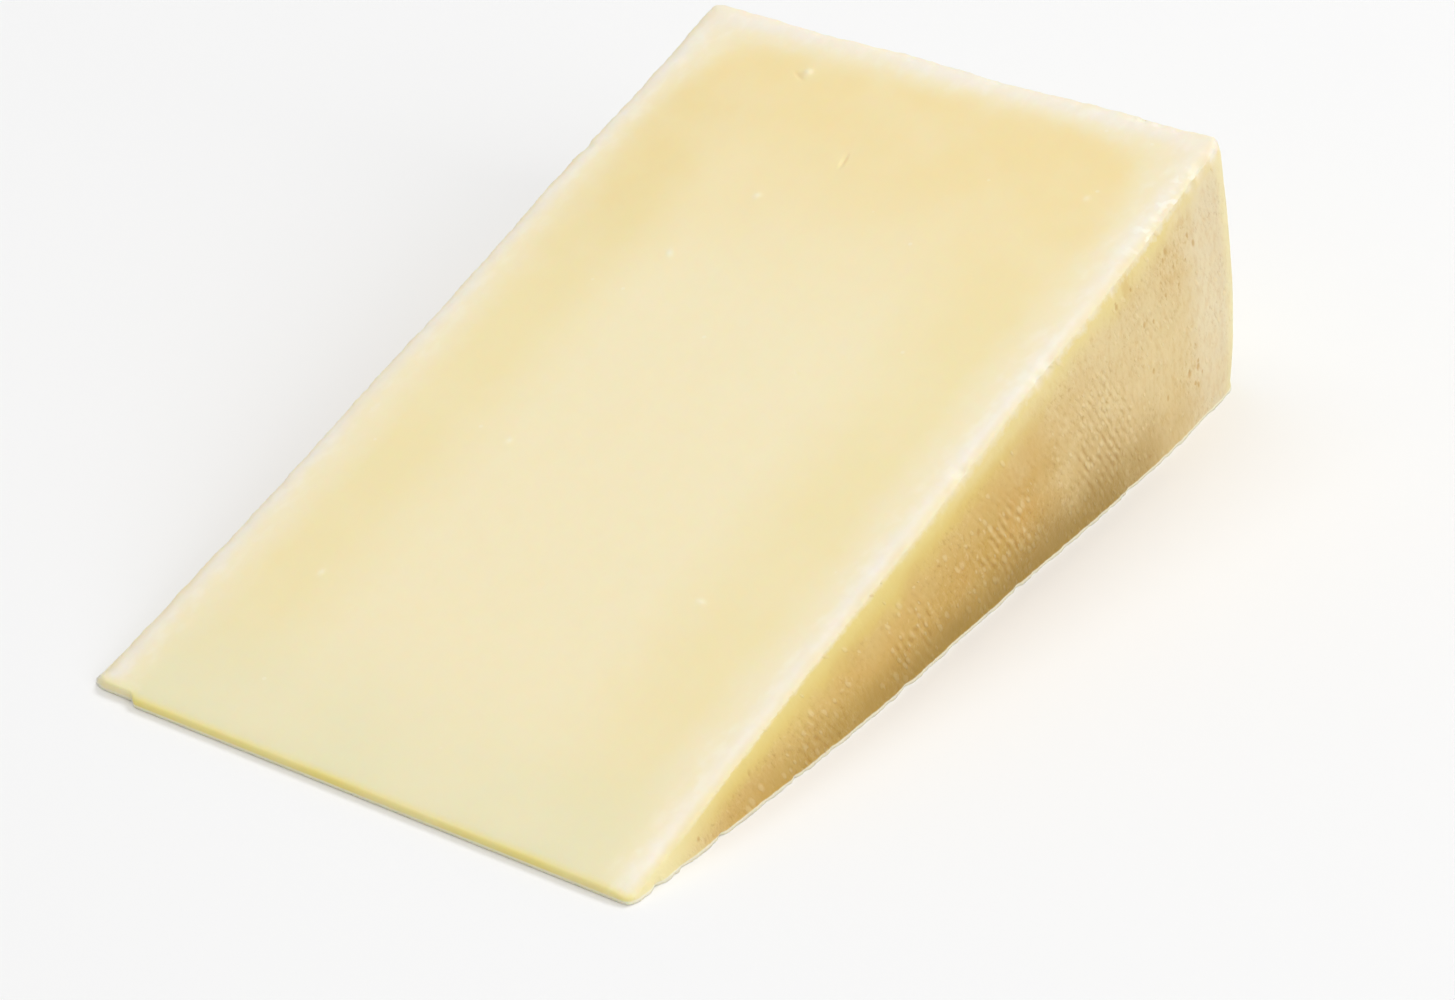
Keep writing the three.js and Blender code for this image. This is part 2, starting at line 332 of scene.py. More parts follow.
class Section:
    """The wheel's half section and the way it is swept into the wedge, in millimetres."""

    def __init__(self, shape):
        self.radius = shape.wheel_radius / MM
        self.half_height = shape.wheel_height / MM / 2
        self.angle = shape.slice_angle
        self.tip = shape.tip_distance / MM
        self.soft = shape.cut_rounding / MM
        self.soft_share = shape.cut_rounding_share
        self.curl_length = self.soft * math.pi / 2  # of a softened edge, around its rounding
        self.side_bow = shape.side_bow / MM
        self.heel_hollow = shape.heel_hollow / MM
        self.corners = [
            (self.tip, -1, -1, shape.tip_right),
            (self.radius, 1, -1, shape.heel_right),
            (self.radius, 1, 1, shape.heel_left),
            (self.tip, -1, 1, shape.tip_left),
        ]

    def core_outline(self, step):
        """Even points around the section inside its softened edges, anticlockwise from above
        and starting in the middle of the tip, with the way that the outline faces at each."""
        start = np.array([[self.tip + self.soft, 0.0]])
        away = np.array([[-1.0, 0.0]])
        points, facings = [start], [away]
        for quarter, (end, outward, sideward, reach) in enumerate(self.corners):
            radii = np.array(reach) / MM - self.soft
            signs = np.array([outward, sideward])
            corner = np.array([end, sideward * self.half_height]) - self.soft * signs
            swing = np.linspace(0, math.pi / 2, ARC_POINTS) + math.pi * (1 + quarter / 2)
            direction = np.stack([np.cos(swing), np.sin(swing)], axis=1)
            points.append(corner - signs * radii + direction * radii)
            facing = direction / radii
            facings.append(facing / np.linalg.norm(facing, axis=1, keepdims=True))
        points = np.concatenate(points + [start])
        facings = np.concatenate(facings + [away])

        gaps = np.linalg.norm(np.diff(points, axis=0), axis=1)
        travelled = np.concatenate([[0.0], np.cumsum(gaps)])
        places = np.linspace(0, travelled[-1], round(travelled[-1] / step) + 1)

        def spaced(values):
            return np.stack([np.interp(places, travelled, v) for v in values.T], axis=1)

        facings = spaced(facings)
        facings /= np.linalg.norm(facings, axis=1, keepdims=True)
        return places, spaced(points), facings

    def sweep(self, out, across, turn):
        """Carries points of the half section to their turns about the axis, with the bow of
        the sides, the hollow of the rim and the slow unevenness of the real thing."""
        height = turn / self.angle
        along = (out - self.tip) / (self.radius - self.tip)
        inside = np.clip(along, 0, 1)
        aside = across / self.half_height

        at_top = np.where(across < 0, RIGHT_BOW_AT_TOP, LEFT_BOW_AT_TOP)
        bow = (self.side_bow * (1 - height) + at_top * height) * np.sin(math.pi * inside)
        side_wave = SIDE_WAVE["depth"] * wave(SIDE_WAVE["up"] * height) * wave(
            SIDE_WAVE["along"] * along + SIDE_WAVE["across"] * aside)
        hollow = self.heel_hollow * (1 - aside ** 2)
        rim_wave = RIM_WAVE["depth"] * wave(RIM_WAVE["across"] * aside + RIM_WAVE["up"] * height)
        cut_wave = CUT_WAVE["depth"] * wave(CUT_WAVE["along"] * along) * wave(
            CUT_WAVE["across"] * aside)

        high = out * np.sin(turn)
        on_right = np.where(across < 0, aside ** 2, 0)
        waves = (out - RESTING_WANDER["crest"]) / RESTING_WANDER["length"]
        wander = RESTING_WANDER["depth"] * np.cos(TURN * waves) * inside ** 0.5
        wander = wander * bump(high, RESTING_WANDER["reach"])
        nicked = sum(depth * bump(out - place, half_width)
                     for place, half_width, depth in RESTING_NICKS)
        nicked = nicked * bump(high, NICK_HEIGHT) * np.exp(
            -(self.half_height + across) / NICK_REACH)
        spread = TIP_SPREAD["width"] * bump(out - TIP_SPREAD["place"], TIP_SPREAD["reach"])
        droop = TIP_DROOP["depth"] * height ** 2 * bump(out - self.tip, TIP_DROOP["reach"])
        droop = droop * bump(self.half_height + across, TIP_DROOP["width"])
        on_left = np.where(across > 0, aside ** 6, 0)
        across = across - on_right * (wander - nicked) + on_left * spread * (1 - height)
        across = across + aside * np.abs(aside) * (bow + side_wave * along)
        out = out - inside ** RIM_FALLOFF * (hollow + rim_wave)
        broken = np.clip((across - BROKEN_TIP["start"]) / BROKEN_TIP["step"], 0, 1)
        out = out + BROKEN_TIP["depth"] * broken * np.exp(
            -(out - self.tip) / BROKEN_TIP["reach"])
        return np.stack([out * np.cos(turn), across,
                         out * np.sin(turn) + cut_wave * height * along - droop], axis=1)

    def softness(self, out):
        """The turn that the softened edge of a cut face takes, at a distance out."""
        return np.minimum(self.soft / out, self.soft_share * self.angle)


class Sheet:
    """Points of a flat layout, cut into triangles, with the place each has on the wedge."""

    def __init__(self, rim, inner):
        """rim: the outline of the layout, in order. inner: points inside it."""
        count = len(rim)
        edges = [(i, (i + 1) % count) for i in range(count)]
        given = np.concatenate([rim, inner])
        inside_only = 1
        result = delaunay_2d_cdt([Vector(p) for p in given], edges, [], inside_only, 1e-6)
        sources = [made_from[0] for made_from in result[3]]
        self.flat = given[sources]
        self.triangles = np.array(result[2], dtype=int)


def hexagonal(low, high, step):
    """Points of an even triangular grid that covers the box from low to high."""
    rows = np.arange(low[1], high[1], step * HEX_ROW)
    columns = np.arange(low[0], high[0], step)
    x = columns[None, :] + 0.5 * step * (np.arange(len(rows)) % 2)[:, None]
    y = np.repeat(rows[:, None], len(columns), axis=1)
    return np.stack([x.ravel(), y.ravel()], axis=1)


def inside_outline(points, outline):
    """Which points lie inside a closed outline, by counting its crossings."""
    inside = np.zeros(len(points), bool)
    x, y = points.T
    for (x0, y0), (x1, y1) in zip(outline, np.roll(outline, -1, axis=0)):
        if y0 != y1:
            crosses = (y0 > y) != (y1 > y)
            inside ^= crosses & (x < x0 + (y - y0) * (x1 - x0) / (y1 - y0))
    return inside


def distance_to(points, outline):
    """How far each point lies from the nearest side of a straight-sided outline's box."""
    low, high = outline.min(axis=0), outline.max(axis=0)
    return np.minimum(points - low, high - points).min(axis=1)


def face_layout(outline, rim_step, plain_step, marks=()):
    """A cut face laid out flat: fine along its edges, where it meets the rind, and around
    its marks, and coarser in between."""
    low, high = outline.min(axis=0), outline.max(axis=0)
    bands = ((rim_step, 0.5 * rim_step, 3 * rim_step),
             ((rim_step * plain_step) ** 0.5, 3 * rim_step, 3 * rim_step + 2.5 * plain_step),
             (plain_step, 3 * rim_step + 2.5 * plain_step, math.inf))
    chosen = []
    for step, nearest, farthest in bands:
        points = hexagonal(low, high, step)
        distance = distance_to(points, outline)
        points = points[(distance > nearest) & (distance <= farthest)]
        for out, across, *_ in marks:
            points = points[np.hypot(points[:, 0] - out, points[:, 1] - across) > MARK_PATCH]
        chosen.append(points)
    for out, across, *_ in marks:
        centre = np.array([out, across])
        points = hexagonal(centre - MARK_PATCH, centre + MARK_PATCH, MARK_STEP)
        near = np.linalg.norm(points - centre, axis=1) < MARK_PATCH - 0.5 * MARK_STEP
        chosen.append(points[near])
    points = np.concatenate(chosen)
    return Sheet(outline, points[inside_outline(points, outline)])


def mark_heights(places):
    """How far the small marks raise or lower points of the upper face, and which points lie
    on a crystal."""
    lift = np.zeros(len(places))
    crystal = np.zeros(len(places))
    for out, across, long, wide, lie, height in CUT_MARKS:
        angle = math.radians(lie)
        from_mark = places - (out, across)
        lengthwise = from_mark @ (math.cos(angle), math.sin(angle))
        crosswise = from_mark @ (-math.sin(angle), math.cos(angle))
        form = bump(np.hypot(lengthwise / long, crosswise / wide), 1.0)
        lift += height * form
        crystal = np.maximum(crystal, form * (height > 0))
    return lift, crystal


def patches(places, chosen, elsewhere):
    """The strength of the nearest patches at each place of the unrolled wall."""
    strength = np.full(len(places), elsewhere)
    for around, up, radius, most in chosen:
        from_middle = np.hypot(places[:, 0] - around, places[:, 1] - up)
        strength = np.maximum(strength, most * bump(from_middle, radius))
    return strength


def wall_sheet(section, step, places, core):
    """The wall, unrolled and laid out flat: X is the way around the outline, and Y the way
    up the wall, around the softened edge at each end. Gives the sheet, and the height of the
    wall over each of its points."""
    def wall_height(at):
        out = np.interp(at, places, core[:, 0])
        plain = section.angle - 2 * section.softness(out)
        return 2 * section.curl_length + plain * out

    heights = wall_height(places)
    seam = np.linspace(0, heights[0], SEAM_STEPS + 1)[1:-1]
    rim = np.concatenate([
        np.stack([places, np.zeros(len(places))], axis=1),
        np.stack([np.full(len(seam), places[-1]), seam], axis=1),
        np.stack([places, heights], axis=1)[::-1],
        np.stack([np.zeros(len(seam)), seam[::-1]], axis=1),
    ])
    grid = hexagonal((0, 0), (places[-1], heights.max()), step)
    clear = 0.6 * step
    keep = ((grid[:, 0] > clear) & (grid[:, 0] < places[-1] - clear) & (grid[:, 1] > clear)
            & (grid[:, 1] < wall_height(grid[:, 0]) - clear))
    sheet = Sheet(rim, grid[keep])
    return sheet, wall_height(sheet.flat[:, 0])


def wall_surface(section, step, places, core, facing):
    """The wall's points, its triangles and what is known of each point."""
    sheet, top = wall_sheet(section, step, places, core)
    at, up = sheet.flat.T
    core_at, facing_at = (np.stack([np.interp(at, places, v) for v in values.T], axis=1)
                          for values in (core, facing))
    curl_length = section.curl_length
    to_edge = np.clip(np.minimum(up, top - up), 0, curl_length)
    swing = to_edge / section.soft
    spot = core_at + facing_at * (section.soft * np.sin(swing))[:, None]
    soft_turn = section.softness(core_at[:, 0])
    plain_turn = section.angle - 2 * soft_turn
    climbed = np.clip((up - curl_length) / (top - 2 * curl_length), 0, 1)
    curl = soft_turn * (1 - np.cos(swing))
    lowest = RESTING_SOFTNESS * soft_turn
    turn = np.where(up < curl_length, RESTING_SOFTNESS * curl,
                    np.where(top - up < curl_length, section.angle - curl,
                             lowest + climbed * (plain_turn + soft_turn - lowest)))
    faces_tip = np.clip(-facing_at[:, 0] * 1.5, 0, 1)
    return section.sweep(spot[:, 0], spot[:, 1], turn), sheet.triangles, {
        "unrolled": np.pad(sheet.flat, ((0, 0), (0, 1))),
        "rind": np.clip(to_edge / curl_length, 0, 1) * (1 - faces_tip),
        "blunt": faces_tip,
        "from edge": np.abs(top - up - curl_length / 2),
        "pressed": patches(sheet.flat, WOVEN_PATCHES, FAINT_WEAVE),
        "pitted": patches(sheet.flat, PIT_CLOUDS, STRAY_PITS),
        "stained": patches(sheet.flat, STAINED_PATCHES, 0.0),
        "damp": patches(sheet.flat, DAMP_PATCHES, 0.0),
    }


def wedge_surface(shape):
    """The wedge's points in mm from the wheel's axis, its triangles, and what is known of
    each point: whether it is rind, its place on the unrolled wall, how deep the weave is
    there, how likely pits are, how stained and how damp it is, its distance from the upper
    edge, whether it belongs to the blunt tip and whether it lies on a crystal."""
    section = Section(shape)
    step = shape.rind_step / MM
    places, core, facing = section.core_outline(step)
    outline = core[:-1]
    upper = face_layout(outline, step, shape.upper_step / MM, CUT_MARKS)
    upper_points = section.sweep(*upper.flat.T, np.full(len(upper.flat), section.angle))
    lift, crystal = mark_heights(upper.flat)
    upper_points[:, 0] -= lift * math.sin(section.angle)
    upper_points[:, 2] += lift * math.cos(section.angle)
    resting = face_layout(outline, step, shape.resting_step / MM)
    resting_points = section.sweep(*resting.flat.T, np.zeros(len(resting.flat)))
    parts = (
        wall_surface(section, step, places, core, facing),
        (upper_points, upper.triangles, {
            "blunt": np.exp(-(upper.flat[:, 0] - section.tip) / TIP_REACH),
            "from edge": distance_to(upper.flat, outline) + section.curl_length / 2,
            "crystal": crystal}),
        (resting_points, resting.triangles[:, ::-1], {
            "from edge": np.full(len(resting_points), FAR)}),
    )

    points = np.concatenate([part[0] for part in parts])
    starts = np.cumsum([0] + [len(part[0]) for part in parts])
    triangles = np.concatenate([part[1] + start for part, start in zip(parts, starts)])
    known = {}
    for (_, _, about), start, end in zip(parts, starts, starts[1:]):
        for name, values in about.items():
            whole = known.setdefault(name, np.zeros((len(points), *values.shape[1:])))
            whole[start:end] = values
    return points, triangles, known


def welded(points, triangles):
    """Joins points that lie in one place. Gives the points kept and the new triangles."""
    rounded = np.round(points / 1e-4).astype(np.int64)
    _, kept, joined = np.unique(rounded, axis=0, return_index=True, return_inverse=True)
    triangles = joined.reshape(-1)[triangles]
    a, b, c = triangles.T
    return kept, triangles[(a != b) & (b != c) & (c != a)]


def add_attribute(mesh, name, values):
    """Keeps one number or one vector for each point of a mesh."""
    is_vector = values.ndim == 2
    attribute = mesh.attributes.new(name, "FLOAT_VECTOR" if is_vector else "FLOAT", "POINT")
    attribute.data.foreach_set("vector" if is_vector else "value",
                               np.ascontiguousarray(values, np.float32).ravel())


def axis_place():
    """Where the wheel's axis lies in the frame: the wedge's outline is centred on the CAD
    solid's, and its resting face is on the solid's."""
    low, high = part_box(NODE)
    shape = bpy.context.scene.wedge_shape
    section = Section(shape)
    places, core, facing = section.core_outline(shape.rind_step / MM)
    edge = core + facing * section.soft
    rows = [section.sweep(edge[:, 0], edge[:, 1], np.full(len(edge), turn))
            for turn in np.linspace(0, section.angle, MEASURED_ROWS)]
    rows = np.concatenate(rows) * MM
    middle = (rows.min(axis=0) + rows.max(axis=0)) / 2
    return Vector(((low.x + high.x) / 2 - middle[0], (low.y + high.y) / 2 - middle[1], low.z))


def wedge_mesh(shape, axis):
    """The plain wedge as a closed mesh, before anything is pressed into its rind."""
    points, triangles, known = wedge_surface(shape)
    kept, triangles = welded(points, triangles)
    mesh = bpy.data.meshes.new(PIECE)
    mesh.from_pydata((points[kept] * MM + np.array(axis)).tolist(), [], triangles.tolist())
    for name, values in known.items():
        add_attribute(mesh, name, values[kept])
    mesh.shade_smooth()
    mesh.update()
    return mesh


# ---------------------------------------------------------------------------------------
# Node trees


class Wiring:
    """Adds nodes to a tree one after another and links them, so that a tree is written in
    the order in which it is worked out. A value is a number or another node's output."""

    def __init__(self, tree):
        self.tree = tree

    def node(self, kind, inputs=None, **settings):
        """A node with its settings and inputs."""
        node = self.tree.nodes.new(kind)
        for name, value in settings.items():
            setattr(node, name, value)
        for name, value in (inputs or {}).items():
            self.feed(node.inputs[name], value)
        return node

    def group(self, group, inputs):
        """Places a node group in the tree. Gives the group's outputs."""
        kind = self.tree.bl_idname.replace("Tree", "Group")
        return self.node(kind, inputs, node_tree=group).outputs

    def feed(self, socket, value):
        """Links an output to a socket, or sets the socket's own value."""
        if isinstance(value, bpy.types.NodeSocket):
            self.tree.links.new(value, socket)
        elif value is not None:
            socket.default_value = value

    def math(self, operation, *values):
        """One sum."""
        node = self.node("ShaderNodeMath", operation=operation)
        for socket, value in zip(node.inputs, values):
            self.feed(socket, value)
        return node.outputs[0]

    def chain(self, operation, values):
        """One sum after another, from the first value to the last."""
        total, *others = values
        for value in others:
            total = self.math(operation, total, value)
        return total

    def times(self, *values):
        """The product of the values."""
        return self.chain("MULTIPLY", values)

    def plus(self, *values):
        """Their sum."""
        return self.chain("ADD", values)

    def minus(self, *values):
        """The first of them less the others."""
        return self.chain("SUBTRACT", values)

    def highest(self, *values):
        """The highest of them."""
        return self.chain("MAXIMUM", values)

    def vector(self, operation, first, second=None, scale=None):
        """One sum on vectors."""
        node = self.node("ShaderNodeVectorMath", operation=operation)
        self.feed(node.inputs[0], first)
        self.feed(node.inputs[1], second)
        if operation == "SCALE":
            self.feed(node.inputs["Scale"], scale)
        return node.outputs["Value" if operation in ("LENGTH", "DOT_PRODUCT") else "Vector"]

    def split(self, vector):
        """The X, Y and Z of a vector."""
        return self.node("ShaderNodeSeparateXYZ", {"Vector": vector}).outputs

    def smooth(self, value, start, end, low=0.0, high=1.0):
        """A smooth step from low to high while a value goes from start to end."""
        node = self.node("ShaderNodeMapRange", interpolation_type="SMOOTHSTEP")
        for name, number in (("Value", value), ("From Min", start), ("From Max", end),
                             ("To Min", low), ("To Max", high)):
            self.feed(node.inputs[name], number)
        return node.outputs["Result"]

    def where(self, *steps):
        """A mask where several smooth steps all hold. Each is given as smooth takes it."""
        return self.times(*(self.smooth(*step) for step in steps))

    def noise(self, vector, scale, detail=2.0, roughness=0.5):
        """Smooth noise, from 0 to 1."""
        return self.node("ShaderNodeTexNoise", {
            "Vector": vector, "Scale": scale, "Detail": detail,
            "Roughness": roughness}).outputs[0]

    def centred(self, vector, scale, detail=2.0, roughness=0.5):
        """Smooth noise, from -0.5 to 0.5."""
        return self.minus(self.noise(vector, scale, detail, roughness), 0.5)

    def mix(self, factor, first, second, blend="MIX"):
        """A mix of two colours."""
        node = self.node("ShaderNodeMix", data_type="RGBA", blend_type=blend)
        self.feed(node.inputs[0], factor)
        for socket, value in ((node.inputs[6], first), (node.inputs[7], second)):
            if not isinstance(value, bpy.types.NodeSocket):
                value = opaque(value)
            self.feed(socket, value)
        return node.outputs[2]

    def washed(self, tint, *washes):
        """A colour with others over it, one after another. washes: pairs of mask and colour."""
        for mask, other in washes:
            tint = self.mix(mask, tint, other)
        return tint


def opaque(tint):
    """A colour property as a colour socket takes it."""
    return (*tint, 1.0)


def new_group(name, kind, inputs, outputs):
    """An empty node group with its named inputs and outputs. Gives it with its wiring, its
    input sockets by name and its output node's sockets."""
    tree = bpy.data.node_groups.new(name, kind)
    for socket_name, socket_kind, default in inputs:
        socket = tree.interface.new_socket(socket_name, in_out="INPUT", socket_type=socket_kind)
        if default is not None:
            socket.default_value = default
    for socket_name, socket_kind in outputs:
        tree.interface.new_socket(socket_name, in_out="OUTPUT", socket_type=socket_kind)
    wire = Wiring(tree)
    given = {socket.name: socket for socket in wire.node("NodeGroupInput").outputs}
    return tree, wire, given, wire.node("NodeGroupOutput").inputs


NUMBER = "NodeSocketFloat"
VECTOR = "NodeSocketVector"
COLOUR = "NodeSocketColor"
WHOLE = "NodeSocketInt"
GEOMETRY = "NodeSocketGeometry"
MATERIAL = "NodeSocketMaterial"

# The two families of ridges that the cloth left: the way that each one's waves run, in
# degrees up from the way towards the heel, and its share of the depth
RIDGE_LEAN = 31.0
RIDGE_FAMILIES = ((RIDGE_LEAN, 0.78), (65.0, 0.22))
RIDGE_WANDER = 0.9  # turns by which the ridges wander
RIDGE_RUN = 1.9  # how much longer than wide an unbroken piece of a ridge is
PIT_SCALE = (1.0, 0.6, 1.0)  # pits are longer up the wall than they are wide


def distance_along(wire, place, degrees):
    """How far a place on the unrolled wall lies along a way that leans up by an angle."""
    angle = math.radians(degrees)
    return wire.vector("DOT_PRODUCT", place, (math.cos(angle), math.sin(angle), 0.0))


def turned_place(wire, place):
    """A place on the unrolled wall with X across the main ridges and Y along them."""
    across = distance_along(wire, place, RIDGE_LEAN)
    along = wire.math("DIVIDE", distance_along(wire, place, RIDGE_LEAN + 90), RIDGE_RUN)
    return wire.node("ShaderNodeCombineXYZ", {"X": across, "Y": along}).outputs[0]


def weave_tree(kind):
    """How high the cloth's weave stands at each place of the rind, for shaders or Geometry
    Nodes. The ridges wander and break, as they do where cheese has swollen and dried."""
    tree, wire, given, result = new_group(
        "Cloth weave", kind,
        [("Place", VECTOR, None), ("Spacing", NUMBER, 1.35), ("Seed", NUMBER, 0.0)],
        [("Height", NUMBER)])
    place = given["Place"]
    drawn = wire.vector("ADD", place, wire.vector("SCALE", (17.0, 31.0, 5.0), scale=given["Seed"]))
    wander = wire.times(wire.centred(drawn, 0.1), RIDGE_WANDER * 2)
    ridges = []
    for lean, weight in RIDGE_FAMILIES:
        along = wire.math("DIVIDE", distance_along(wire, place, lean), given["Spacing"])
        ridge = wire.math("SINE", wire.times(wire.plus(along, wander), TURN))
        ridges.append(wire.times(ridge, weight))
    unbroken = wire.noise(turned_place(wire, drawn), 0.62, 1.0)
    height = wire.times(wire.plus(*ridges), wire.smooth(unbroken, 0.38, 0.6, 0.2, 1.0))
    wire.feed(result["Height"], height)
    return tree


def scattered_spots_tree(kind):
    """Round spots in some of the patches of a plane, each from 1 in its middle to 0 at its
    edge, for shaders or Geometry Nodes. The crowding is the share of the patches with one."""
    tree, wire, given, result = new_group(
        "Scattered spots", kind,
        [("Place", VECTOR, None), ("Spacing", NUMBER, 2.0 * MM), ("Radius", NUMBER, 0.4 * MM),
         ("Crowding", NUMBER, 0.1)],
        [("Spot", NUMBER)])
    cells = wire.node("ShaderNodeTexVoronoi", {
        "Vector": given["Place"], "Scale": wire.math("DIVIDE", MM, given["Spacing"])},
        voronoi_dimensions="2D").outputs
    drawn = wire.split(cells["Color"])
    reach = wire.math("DIVIDE", given["Radius"], given["Spacing"])
    reach = wire.times(reach, wire.plus(drawn["Y"], 0.5))
    spot = wire.smooth(cells["Distance"], wire.times(reach, 0.3), reach, 1.0, 0.0)
    held = wire.math("LESS_THAN", drawn["X"], given["Crowding"])
    wire.feed(result["Spot"], wire.times(spot, held))
    return tree


def input_name(field):
    """The name that a setting of the relief has among the inputs of its tree."""
    return field.replace("_", " ").capitalize()


def rind_relief_tree(relief):
    """Geometry Nodes: presses the weave, grain, swells and pits into the rind, wears and
    chips the upper edge, and gives rind and paste their materials."""
    settings = [(input_name(field), WHOLE if field == "seed" else NUMBER, getattr(relief, field))
                for field in RindRelief.__annotations__]
    tree, wire, given, result = new_group(
        "Rind relief", "GeometryNodeTree",
        [("Geometry", GEOMETRY, None), *settings, ("Paste", MATERIAL, None),
         ("Rind", MATERIAL, None)],
        [("Geometry", GEOMETRY)])
    tree.is_modifier = True

    def known(name, kind="FLOAT"):
        node = wire.node("GeometryNodeInputNamedAttribute", {"Name": name}, data_type=kind)
        return node.outputs["Attribute"]

    def falloff(distance, reach):
        """1 at no distance, and almost nothing at twice the reach."""
        share = wire.math("DIVIDE", wire.times(distance, MM), reach)
        return wire.math("EXPONENT", wire.times(share, share, -1.0))

    rind, place = known("rind"), known("unrolled", "FLOAT_VECTOR")
    position = wire.node("GeometryNodeInputPosition").outputs[0]
    position = wire.vector("SCALE", position, scale=1 / MM)
    along, across, height = wire.split(position)
    drawn = wire.vector("SCALE", (13.0, 7.0, 19.0), scale=given["Seed"])
    drawn = wire.vector("ADD", position, drawn)

    # The weave is pressed in unevenly, worn in places, and gone beside the cut edge
    from_edge = known("from edge")
    weave = wire.group(weave_tree("GeometryNodeTree"), {
        "Place": place, "Spacing": wire.math("DIVIDE", given["Ridge spacing"], MM),
        "Seed": given["Seed"]})["Height"]
    worn = wire.smooth(wire.noise(drawn, 0.2), 0.34, 0.55, 0.45, 1.0)
    woven = wire.times(known("pressed"), worn, rind, wire.smooth(from_edge, 1.5, 6.0))
    grain = wire.times(wire.centred(drawn, 0.8, 3.0, 0.6), given["Grain depth"], 2.0)
    swell = wire.times(wire.centred(drawn, 0.09, 1.0), given["Swell depth"], 2.0)

    spots = scattered_spots_tree("GeometryNodeTree")
    pit_share = wire.times(rind, wire.smooth(from_edge, 1.5, 3.0))
    pit = wire.times(wire.group(spots, {
        "Place": wire.vector("MULTIPLY", place, PIT_SCALE), "Spacing": given["Pit spacing"],
        "Radius": given["Pit radius"], "Crowding": known("pitted")})["Spot"], pit_share)

    # The upper edge is worn round, more in some places, and small chips have left it
    sharp = wire.minus(1.0, wire.times(known("blunt"), 0.85))
    uneven = wire.smooth(wire.noise(drawn, 0.33, 3.0, 0.6), 0.3, 0.7, 0.7, 1.2)
    wear = wire.times(falloff(from_edge, given["Wear reach"]), uneven, sharp, given["Edge wear"])
    on_right = wire.smooth(across, 0.0, -25.0)
    crowding = wire.plus(wire.smooth(along, -45.0, 50.0, 0.0, 0.14),
                         wire.times(on_right, wire.smooth(along, 42.0, 56.0, 0.0, 0.3)))
    chip = wire.group(spots, {
        "Place": drawn, "Spacing": given["Chip spacing"],
        "Radius": wire.times(given["Chip spacing"], 0.4), "Crowding": crowding})["Spot"]
    chip = wire.times(chip, sharp, wire.smooth(from_edge, 0.5, 2.2, 1.0, 0.0),
                      wire.math("MULTIPLY_ADD", on_right, 0.5, 0.5))

    # The knife left a thin uneven lip of paste along the resting edge
    lip = wire.times(falloff(height, given["Lip height"]), rind, given["Lip depth"],
                     wire.smooth(wire.noise(drawn, 0.4, 3.0, 0.65), 0.35, 0.65, 0.2, 1.3))

    rise = wire.plus(wire.times(weave, woven, given["Ridge depth"]),
                     wire.times(wire.plus(grain, swell), rind), lip)
    rise = wire.minus(rise, wire.times(pit, given["Pit depth"]), wear,
                      wire.times(chip, given["Chip depth"]))
    rise = wire.times(rise, wire.smooth(height, 0.0, 0.15))

    geometry = given["Geometry"]
    for name, value in (("woven", woven), ("pit share", pit_share), ("chip", chip)):
        geometry = wire.node("GeometryNodeStoreNamedAttribute", {
            "Geometry": geometry, "Name": name, "Value": value}).outputs[0]
    normal = wire.node("GeometryNodeInputNormal").outputs[0]
    for kind, inputs in (
            ("SetPosition", {"Offset": wire.vector("SCALE", normal, scale=rise)}),
            ("RealizeInstances", {}),
            ("SetMaterial", {"Material": given["Paste"]}),
            ("SetMaterial", {"Material": given["Rind"],
                             "Selection": wire.math("GREATER_THAN", rind, 0.5)})):
        geometry = wire.node(f"GeometryNode{kind}", {"Geometry": geometry, **inputs}).outputs[0]
    wire.feed(result["Geometry"], geometry)
    return tree


def set_modifier_input(modifier, name, value):
    """Sets a Geometry Nodes modifier's input by its socket's identifier."""
    for item in modifier.node_group.interface.items_tree:
        if item.item_type == "SOCKET" and item.in_out == "INPUT" and item.name == name:
            modifier[item.identifier] = value
            return
    raise ValueError(f"the tree has no input named {name}")


def made_plain(piece, name):
    """Turns what a piece's modifiers make into a plain mesh, and removes the modifiers."""
    graph = bpy.context.evaluated_depsgraph_get()
    mesh = bpy.data.meshes.new_from_object(piece.evaluated_get(graph),
                                           preserve_all_data_layers=True, depsgraph=graph)
    mesh.name = name
    piece.modifiers.clear()
    old = piece.data
    piece.data = mesh
    bpy.data.meshes.remove(old)


# ---------------------------------------------------------------------------------------
# Materials. Distances and heights in them are in mm


CORNER_BLEND = 6.0  # how softly the colours along a side turn into those along the rim


def wheel_place_group(shape, axis):
    """Shader: where a point lies in the wheel, in millimetres: its distance out from the
    axis, its distance in from the nearest rind, its depth under the upper cut face and its
    height above the resting face."""
    tree, wire, given, result = new_group(
        "Wheel place", "ShaderNodeTree", [("Place", VECTOR, None)],
        [("Out", NUMBER), ("Inside", NUMBER), ("Below", NUMBER), ("Above", NUMBER),
         ("Place in mm", VECTOR)])
    from_axis = wire.vector("SUBTRACT", given["Place"], tuple(axis))
    scaled = wire.vector("SCALE", from_axis, scale=1 / MM)
    x, y, z = wire.split(scaled)
    out = wire.vector("LENGTH", wire.node("ShaderNodeCombineXYZ", {"X": x, "Z": z}).outputs[0])
    from_side = wire.minus(shape.wheel_height / MM / 2, wire.math("ABSOLUTE", y))
    from_rim = wire.minus(shape.wheel_radius / MM, out)
    inside = wire.math("SMOOTH_MIN", from_side, from_rim, CORNER_BLEND)
    below = wire.times(wire.minus(shape.slice_angle, wire.math("ARCTAN2", z, x)), out)
    for name, value in (("Out", out), ("Inside", inside), ("Below", below), ("Above", z),
                        ("Place in mm", scaled)):
        wire.feed(result[name], value)
    return tree


